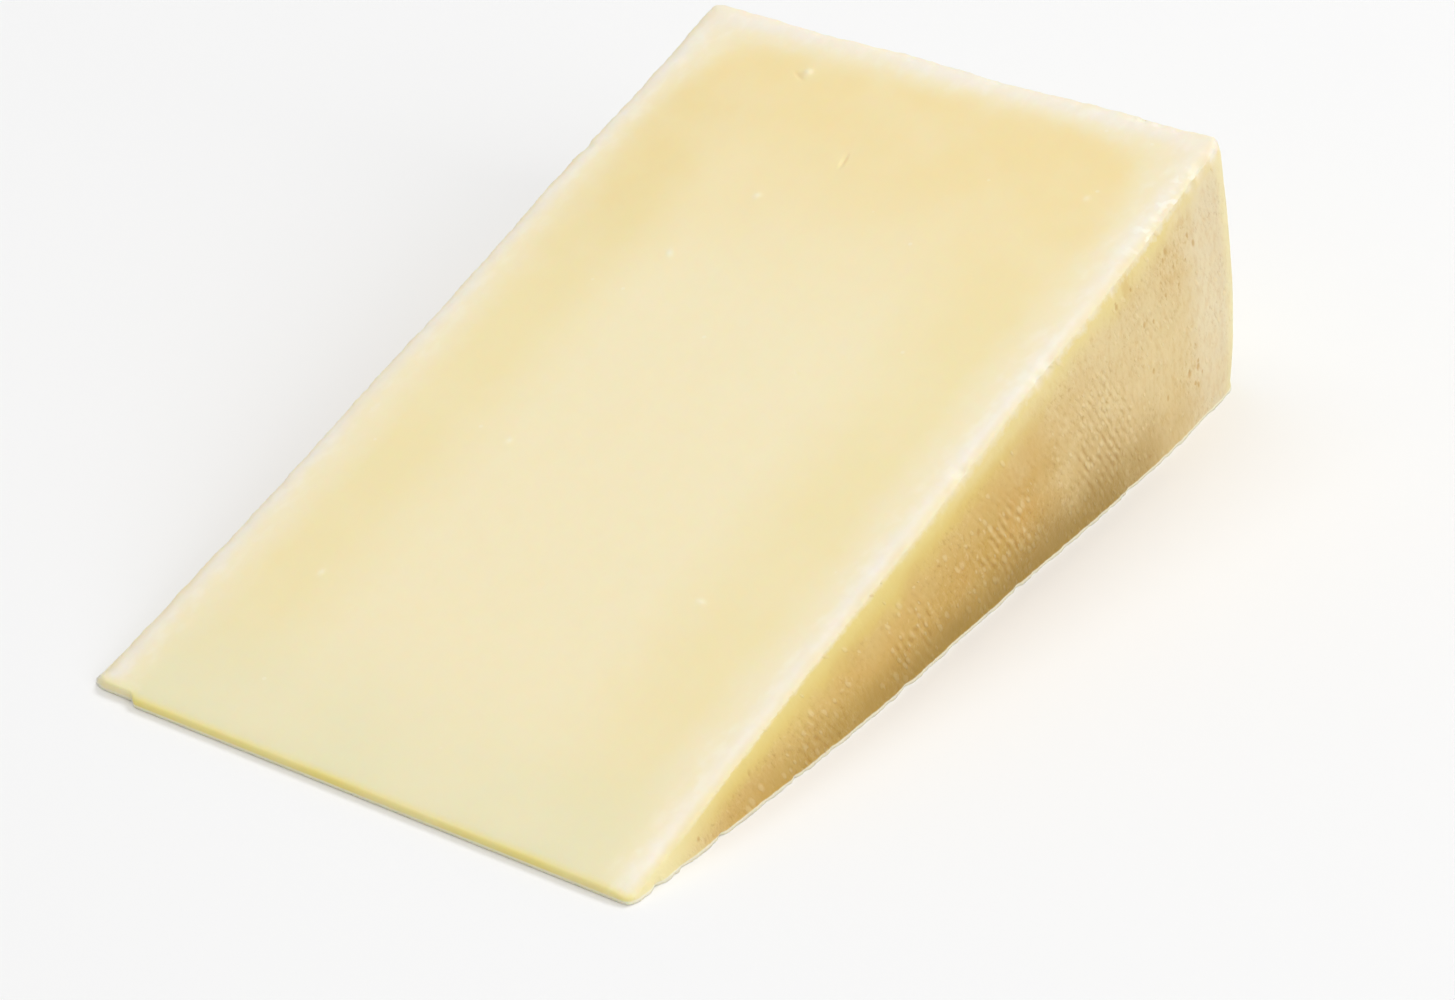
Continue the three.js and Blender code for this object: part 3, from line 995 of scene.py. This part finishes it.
def mottle_group():
    """Shader: shifts a colour a little towards another in cloudy patches."""
    tree, wire, given, result = new_group(
        "Mottle", "ShaderNodeTree",
        [("Colour", COLOUR, None), ("Other", COLOUR, None), ("Place in mm", VECTOR, None),
         ("Patch size", NUMBER, 10.0), ("Amount", NUMBER, 0.3)],
        [("Colour", COLOUR)])
    scale = wire.math("DIVIDE", 1.0, given["Patch size"])
    cloud = wire.noise(given["Place in mm"], scale, 3.0, 0.55)
    amount = wire.times(wire.smooth(cloud, 0.38, 0.68), given["Amount"])
    wire.feed(result["Colour"], wire.mix(amount, given["Colour"], given["Other"]))
    return tree


def fine_grain_group():
    """Shader: the height of a fine grain, as soft lumps with a finer tooth on them."""
    tree, wire, given, result = new_group(
        "Fine grain", "ShaderNodeTree",
        [("Place in mm", VECTOR, None), ("Lump size", NUMBER, 1.0), ("Tooth size", NUMBER, 0.2)],
        [("Height", NUMBER)])
    lumps, tooth = (wire.noise(given["Place in mm"], wire.math("DIVIDE", 1.0, given[size]))
                    for size in ("Lump size", "Tooth size"))
    wire.feed(result["Height"], wire.plus(lumps, wire.times(tooth, 0.35)))
    return tree


DRAG_LEAN = math.radians(40)  # the way that the knife dragged crumbs over the dry edge
DRAG_NARROWING = 1.7  # how much longer than wide the drags are
STREAK_SCALE = (0.9, 0.4, 0.0)  # how fine the upright streaks of the stains are, per mm
GRAIN_SPACING = 1.1  # of the pale raised grains between the ridges, in mm
GRAIN_RADIUS = 0.42


def new_material(name):
    """A material with a Principled shader, and the wiring to build the rest of it."""
    material = bpy.data.materials.new(name)
    material.use_nodes = True
    shader = material.node_tree.nodes["Principled BSDF"]
    return material, shader, Wiring(material.node_tree)


def set_inputs(node, values):
    """Sets a node's own values for its inputs."""
    for name, value in values.items():
        node.inputs[name].default_value = value


def set_flesh(shader, subsurface):
    """What paste and rind have in common: light enters, and comes out warmer nearby."""
    set_inputs(shader, {
        "Subsurface Weight": subsurface, "Subsurface Radius": (1.0, 0.62, 0.3),
        "Subsurface Scale": 1.8 * MM, "Roughness": 0.5, "IOR": 1.42,
        "Specular IOR Level": 0.35})


def finish_flesh(wire, shader, tint, height, strength, distance):
    """Gives a shader its colour, and a fine relief on top of that of the mesh."""
    relief = wire.node("ShaderNodeBump", {"Strength": strength, "Distance": distance * MM,
                                          "Height": height})
    wire.feed(shader.inputs["Base Color"], tint)
    wire.feed(shader.inputs["Normal"], relief.outputs[0])


def colour_along(wire, value, *stops):
    """A colour that changes with a value. stops: pairs of value and colour, in order."""
    last = stops[-1][0]
    ramp = wire.node("ShaderNodeValToRGB", {"Fac": wire.math("DIVIDE", value, last)})
    elements = ramp.color_ramp.elements
    while len(elements) < len(stops):
        elements.new(1.0)
    for element, (place, tint) in zip(elements, stops):
        element.position = place / last
        element.color = opaque(tint)
    return ramp.outputs["Color"]


def mottled(wire, groups, tint, other, place, patch_size, amount):
    """A colour that shifts towards another in cloudy patches."""
    return wire.group(groups["mottle"], {
        "Colour": tint, "Other": opaque(other), "Place in mm": place,
        "Patch size": patch_size, "Amount": amount})["Colour"]


def known_mask(wire, name):
    """A mask that the wedge's mesh keeps for each point."""
    return wire.node("ShaderNodeAttribute", attribute_name=name).outputs["Fac"]


def paste_material(look, groups):
    """The cut paste: dry and almost white along the rind, warm inside that, paler at heart."""
    material, shader, wire = new_material("Cut paste")
    place = wire.node("ShaderNodeTexCoord").outputs["Object"]
    wheel = wire.group(groups["place"], {"Place": place})
    in_mm, out, edge = wheel["Place in mm"], wheel["Out"], wheel["Inside"]
    across = wire.split(in_mm)["Y"]

    # How far in the colours reach varies from place to place
    wobble = wire.times(wire.centred(in_mm, 0.16, 3.0, 0.6), wire.smooth(edge, 1.0, 8.0, 1.2, 5.0))
    near_heel = wire.where((out, 120.0, 145.0), (wire.math("ABSOLUTE", across), 22.0, 36.0))
    inside = wire.times(wire.plus(edge, wobble), wire.math("MULTIPLY_ADD", near_heel, -0.25, 1.0))
    tint = colour_along(
        wire, inside, (0.0, look.crease), (0.4, look.crease), (1.5, look.dry), (2.0, look.dry),
        (3.8, look.pale), (9.5, look.band), (15.0, look.band), (26.0, look.heart),
        (42.0, look.heart))
    # Painted shade over the upper face inside its left edge
    deep = wire.where((wire.plus(across, wobble), 18.0, 28.0, 0.0, 0.26), (across, 41.0, 35.0),
                      (out, 80.0, 104.0), (out, 142.0, 126.0))
    broken = wire.smooth(across, BROKEN_TIP["start"] - 0.5, BROKEN_TIP["start"] + 1.5)
    blunt = wire.times(wire.smooth(wire.minus(out, broken), 6.6, 5.0),
                       wire.math("MULTIPLY_ADD", broken, -0.5, 0.9))
    tint = wire.washed(
        tint,
        (wire.smooth(out, 145.0, 148.0, 0.0, 0.8), look.dry),
        (wire.where((out, 90.0, 140.0), (inside, 4.0, 9.0)), look.heel),
        (deep, look.deep),
        (wire.where((out, 32.0, 7.0), (inside, 2.0, 8.0)), look.tip),
        (wire.times(wire.smooth(out, 8.0, 6.5), broken), look.lip),
        (blunt, look.tip_face),
        (wire.where((out, 45.0, 12.0, 0.0, 0.3), (across, 10.0, -10.0), (edge, 1.6, 0.2)),
         look.tip_face),
        # Painted highlight, partly the real lip of paste, in a bright line along the resting edge
        (wire.smooth(wheel["Above"], 0.7, 0.4), look.lip))
    tint = mottled(wire, groups, tint, look.heart, in_mm, 18.0, 0.35)
    tint = mottled(wire, groups, tint, look.band, in_mm, 3.0, 0.12)

    # Crumbs and knife drags whiten the dry edge, and small crystals lie in the paste
    drags = wire.node("ShaderNodeMapping", {"Vector": in_mm, "Rotation": (0, 0, DRAG_LEAN),
                                            "Scale": (1.0, DRAG_NARROWING, 1.0)}).outputs[0]
    crumbs = wire.where((wire.noise(drags, 0.34), 0.4, 0.75), (inside, 0.6, 1.6),
                        (inside, 6.5, 3.0))
    dots = wire.node("ShaderNodeTexVoronoi", {"Vector": in_mm, "Scale": 0.28}).outputs
    chosen = wire.node("ShaderNodeSeparateColor", {"Color": dots["Color"]}).outputs[0]
    dot = wire.times(wire.smooth(dots["Distance"], 0.11, 0.05),
                     wire.math("LESS_THAN", chosen, 0.08))
    flakes = wire.where((wire.noise(in_mm, 0.6), 0.5, 0.64, 0.0, 0.6), (out, 118.0, 130.0),
                        (out, 145.0, 140.0), (across, -38.6, -40.2))
    white = wire.highest(wire.times(crumbs, 0.26), wire.times(dot, 0.25), flakes,
                         wire.times(known_mask(wire, "crystal"), 0.35),
                         wire.times(known_mask(wire, "chip"), 0.4))
    tint = wire.mix(white, tint, look.crystal)

    grain = wire.group(groups["grain"], {"Place in mm": in_mm, "Lump size": 1.1,
                                         "Tooth size": 0.3})
    finish_flesh(wire, shader, tint, grain["Height"], 0.12, 0.05)
    set_flesh(shader, 0.5)
    return material


def rind_material(look, paste, relief, groups):
    """The rind: straw under the cut edge, tan lower down, partly painted shade, and beige towards
    the heel, darker in the grooves of the weave, partly painted shade, and brown in the pits."""
    material, shader, wire = new_material("Rind")
    place = wire.node("ShaderNodeTexCoord").outputs["Object"]
    unrolled = wire.node("ShaderNodeAttribute", attribute_name="unrolled").outputs["Vector"]
    wheel = wire.group(groups["place"], {"Place": place})
    in_mm, out, below, above = (wheel[name] for name in ("Place in mm", "Out", "Below", "Above"))
    across = wire.split(in_mm)["Y"]
    times, plus, minus, smooth = wire.times, wire.plus, wire.minus, wire.smooth

    # How far down the colours reach varies from place to place
    wobble = wire.centred(in_mm, 0.2, 3.0, 0.6)
    below = plus(below, times(wobble, smooth(below, 0.5, 5.0, 0.0, 6.0)))
    below = times(below, smooth(out, 15.0, 60.0, 1.5, 1.0))
    below = minus(below, smooth(out, 30.0, 12.0, 0.0, 0.7))
    ragged = times(wire.centred(in_mm, 0.8, 3.0, 0.6), smooth(out, 60.0, 135.0, 1.0, 3.5))
    below = wire.highest(plus(below, times(ragged, smooth(below, 3.0, 1.0))), 0.0)
    # Darker from straw to tan towards the resting edge: partly the rind's own colour, partly
    # painted shade low on the wall
    tint = colour_along(
        wire, below, (0.0, paste.crease), (0.3, paste.crease), (1.1, look.straw),
        (3.2, look.yellow), (6.5, look.golden), (12.0, look.tan), (20.0, look.tan))
    heel_tint = colour_along(
        wire, below, (0.0, paste.crease), (0.5, paste.crease), (1.6, look.heel_upper),
        (6.0, look.heel_lower), (30.0, look.heel_lower))
    nearness = plus(minus(out, times(below, 0.5)), smooth(below, 4.5, 0.5, 0.0, 24.0),
                    times(wobble, 20.0))
    nearness = smooth(nearness, 78.0, 110.0)
    end = wire.where((plus(out, times(wobble, 12.0)), 131.0, 142.0, 0.0, 0.85),
                     (below, 0.5, 2.5))
    tint = wire.washed(tint, (nearness, heel_tint), (end, look.heel_end))

    # Clouds of other shades lie away from the cut edge, and fewer of them near the heel
    clouded = plus(smooth(nearness, 0.0, 1.0, 0.4, 0.14), smooth(out, 146.5, 148.5, 0.0, 0.2))
    clouded = times(smooth(below, 1.5, 5.0), clouded)
    tint = mottled(wire, groups, tint, look.stain, in_mm, 11.0, clouded)
    tint = mottled(wire, groups, tint, look.ridge, in_mm, 5.0,
                   smooth(nearness, 0.0, 1.0, 0.08, 0.2))
    streaks = wire.noise(wire.vector("MULTIPLY", unrolled, STREAK_SCALE), 1.0, 3.0, 0.6)
    stain = wire.highest(
        times(known_mask(wire, "stained"), smooth(streaks, 0.4, 0.6, 0.15, 0.8)),
        wire.where((nearness, 0.4, 1.0), (streaks, 0.45, 0.68, 0.0, 0.22), (below, 1.5, 4.0)))
    tint = wire.washed(tint, (stain, look.stain),
                       (times(known_mask(wire, "damp"), 0.85), look.damp))

    # The crests of the weave and of the grain are painted pale, partly rubbed wear and partly
    # painted highlight, and the grooves and the low grain are darkened, partly their own tone and
    # partly painted shade
    woven = known_mask(wire, "woven")
    turned = turned_place(wire, unrolled)
    weave = times(wire.group(groups["weave"], {
        "Place": unrolled, "Spacing": relief.ridge_spacing / MM,
        "Seed": relief.seed})["Height"], woven)
    grains = wire.group(groups["spots"], {
        "Place": turned, "Spacing": GRAIN_SPACING * MM, "Radius": GRAIN_RADIUS * MM,
        "Crowding": smooth(woven, 0.1, 0.5, 0.05, 0.5)})["Spot"]
    grain = wire.group(groups["grain"], {"Place in mm": turned, "Lump size": 0.6,
                                         "Tooth size": 0.25})["Height"]
    worn = times(smooth(below, 2.0, 6.0), smooth(wire.noise(in_mm, 0.15), 0.38, 0.62, 0.3, 1.0))
    tint = wire.mix(times(worn, smooth(grain, 0.7, 0.95, 0.0, 0.3)), tint, look.ridge)
    for dark in (times(worn, smooth(grain, 0.65, 0.4, 0.0, 0.5)),
                 smooth(weave, 0.0, -0.7, 0.0, 0.5)):
        tint = wire.mix(dark, tint, look.groove, "MULTIPLY")

    # The darker strip over the resting edge, partly the rind's own tone and partly painted shade,
    # the tip, the rubbed corners and the pits
    at_heel = smooth(out, 144.5, 147.5)
    # Painted shade, partly the rind's own darker tone, in a strip up from the resting edge
    foot_height = smooth(out, 60.0, 95.0, 7.5, 10.0)
    foot = wire.where((plus(above, times(wobble, 4.0)), foot_height, 0.6, 0.0, 0.85),
                      (out, 14.0, 75.0), (out, 108.0, 134.0, 1.0, 0.08))
    pale_side = wire.where((plus(out, times(wobble, 16.0)), 55.0, 12.0),
                           (across, 0.0, 20.0, 0.0, 0.85))
    pits = wire.group(groups["spots"], {
        "Place": wire.vector("MULTIPLY", unrolled, PIT_SCALE), "Spacing": relief.pit_spacing,
        "Radius": relief.pit_radius, "Crowding": known_mask(wire, "pitted")})["Spot"]
    tint = wire.washed(
        tint,
        # Painted highlight, partly rubbed wear, on the crests of the weave and on the raised
        # grains
        (smooth(weave, 0.0, 0.7, 0.0, 0.3), look.ridge),
        (times(grains, 0.35), look.ridge),
        (times(at_heel, smooth(below, 0.3, 2.5, 0.0, 0.6)), look.corner),
        (times(at_heel, smooth(below, 1.8, 0.4, 0.0, 0.8)), paste.dry),
        (foot, look.foot),
        (smooth(out, 22.0, 7.0, 0.0, 0.8), paste.tip_face),
        (smooth(out, 26.0, 8.0, 0.0, 0.5), paste.lip),
        (pale_side, paste.lip),
        (times(pits, known_mask(wire, "pit share"), 0.6), look.pit),
        (times(known_mask(wire, "chip"), 0.5), paste.dry),
        # Painted highlight, partly the real lip of paste, in a bright line along the resting edge
        (smooth(above, 0.6, 0.35), paste.lip))

    height = times(grain, smooth(worn, 0.0, 1.0, 0.25, 1.0))
    height = plus(height, plus(times(weave, 0.22), times(grains, 0.5)))
    finish_flesh(wire, shader, tint, height, 0.9, 0.22)
    set_flesh(shader, 0.2)
    return material


def floor_material(look):
    """The plain pale floor."""
    material, shader, _ = new_material("Pale floor")
    set_inputs(shader, {"Base Color": opaque(look.floor), "Roughness": 0.7,
                        "Specular IOR Level": 0.2})
    return material


# ---------------------------------------------------------------------------------------
# Operators


WEDGE_MIDDLE = 0.02  # height that the lights aim at

# The soft lights: name, place and side in metres, and the setting that holds the strength
SOFTBOXES = (
    ("Overhead softbox", (0.0, 0.6, 2.6), 2.2, "overhead"),
    ("Key softbox", (1.6, -0.5, 2.2), 0.9, "key"),
    ("Fill softbox", (-0.6, -2.2, 1.2), 1.6, "fill"),
)


class CHEESE_OT_wedge(bpy.types.Operator):
    """Build the wedge of cheese, with its cloth-marked rind and cut paste"""

    bl_idname = "cheese.wedge"
    bl_label = "Cheese wedge"

    def execute(self, context):
        scene = context.scene
        shape, relief = scene.wedge_shape, scene.rind_relief
        axis = axis_place()
        piece = bpy.data.objects.new(PIECE, wedge_mesh(shape, axis))
        scene.collection.objects.link(piece)

        groups = {"place": wheel_place_group(shape, axis), "mottle": mottle_group(),
                  "grain": fine_grain_group(), "weave": weave_tree("ShaderNodeTree"),
                  "spots": scattered_spots_tree("ShaderNodeTree")}
        inputs = {input_name(field): getattr(relief, field)
                  for field in RindRelief.__annotations__}
        inputs["Paste"] = paste_material(scene.paste_look, groups)
        inputs["Rind"] = rind_material(scene.rind_look, scene.paste_look, relief, groups)
        modifier = piece.modifiers.new("Rind relief", "NODES")
        modifier.node_group = rind_relief_tree(relief)
        for name, value in inputs.items():
            set_modifier_input(modifier, name, value)
        made_plain(piece, PIECE)
        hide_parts(NODE)
        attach(piece, BODY)
        return {"FINISHED"}


def softbox(name, place, size, strength):
    """A square light that faces the wedge. A strength of 1 lights a white card fully."""
    light = bpy.data.lights.new(name, "AREA")
    light.shape = "SQUARE"
    light.size = size
    to_wedge = Vector((0, 0, WEDGE_MIDDLE)) - Vector(place)
    light.energy = strength * (math.pi * to_wedge.length) ** 2
    lamp = bpy.data.objects.new(name, light)
    lamp.location = place
    lamp.rotation_euler = to_wedge.to_track_quat("-Z", "Y").to_euler()
    bpy.context.scene.collection.objects.link(lamp)


class CHEESE_OT_stage(bpy.types.Operator):
    """Build the pale floor, the soft lights and the camera"""

    bl_idname = "cheese.stage"
    bl_label = "Stage"

    def execute(self, context):
        scene = context.scene
        look = scene.stage_look
        self.add_floor(scene, look)
        self.add_camera(scene, look)

        for name, place, size, setting in SOFTBOXES:
            softbox(name, place, size, getattr(look, setting))
        world = bpy.data.worlds.new("Even light")
        world.use_nodes = True
        set_inputs(world.node_tree.nodes["Background"],
                   {"Color": opaque(look.sky), "Strength": look.sky_strength})
        scene.world = world
        scene.view_settings.view_transform = "Standard"
        return {"FINISHED"}

    def add_floor(self, scene, look):
        half = look.floor_size / 2
        corners = [(-half, -half, 0), (half, -half, 0), (half, half, 0), (-half, half, 0)]
        mesh = bpy.data.meshes.new("floor")
        mesh.from_pydata(corners, [], [(0, 1, 2, 3)])
        mesh.materials.append(floor_material(look))
        floor = bpy.data.objects.new("floor", mesh)
        scene.collection.objects.link(floor)

    def add_camera(self, scene, look):
        level = math.cos(look.elevation)
        back = Vector((math.sin(look.azimuth) * level, -math.cos(look.azimuth) * level,
                       math.sin(look.elevation)))
        right = Vector((0, 0, 1)).cross(back).normalized()
        up = back.cross(right)
        turned = Matrix((right, up, back)).transposed().to_4x4()
        turned = turned @ Matrix.Rotation(look.roll, 4, "Z")
        data = bpy.data.cameras.new("camera")
        data.lens = look.focal_length
        data.clip_start = 0.01
        camera = bpy.data.objects.new("camera", data)
        target = axis_place() + Vector(look.target)
        camera.matrix_world = Matrix.Translation(target + back * look.distance) @ turned
        scene.collection.objects.link(camera)
        scene.camera = camera


class CHEESE_PT_panel(bpy.types.Panel):
    """The cheese's panel in the 3D view's sidebar"""

    bl_idname = "CHEESE_PT_panel"
    bl_label = "Cheese"
    bl_space_type = "VIEW_3D"
    bl_region_type = "UI"
    bl_category = "Cheese"

    def draw(self, context):
        layout = self.layout
        for operator in OPERATORS:
            layout.operator(operator.bl_idname)
        for name, group in GROUPS.items():
            box = layout.box()
            settings = getattr(context.scene, name)
            for field in group.__annotations__:
                box.prop(settings, field)


OPERATORS = (CHEESE_OT_wedge, CHEESE_OT_stage)
GROUPS = {"wedge_shape": WedgeShape, "rind_relief": RindRelief, "paste_look": PasteLook,
          "rind_look": RindLook, "stage_look": StageLook}


def register():
    for cls in (*GROUPS.values(), *OPERATORS, CHEESE_PT_panel):
        bpy.utils.register_class(cls)
    for name, group in GROUPS.items():
        setattr(bpy.types.Scene, name, PointerProperty(type=group))


def unregister():
    for name in GROUPS:
        delattr(bpy.types.Scene, name)
    for cls in reversed((*GROUPS.values(), *OPERATORS, CHEESE_PT_panel)):
        bpy.utils.unregister_class(cls)


def main():
    register()
    bpy.ops.cheese.wedge()
    bpy.ops.cheese.stage()


if __name__ == "__main__":
    main()
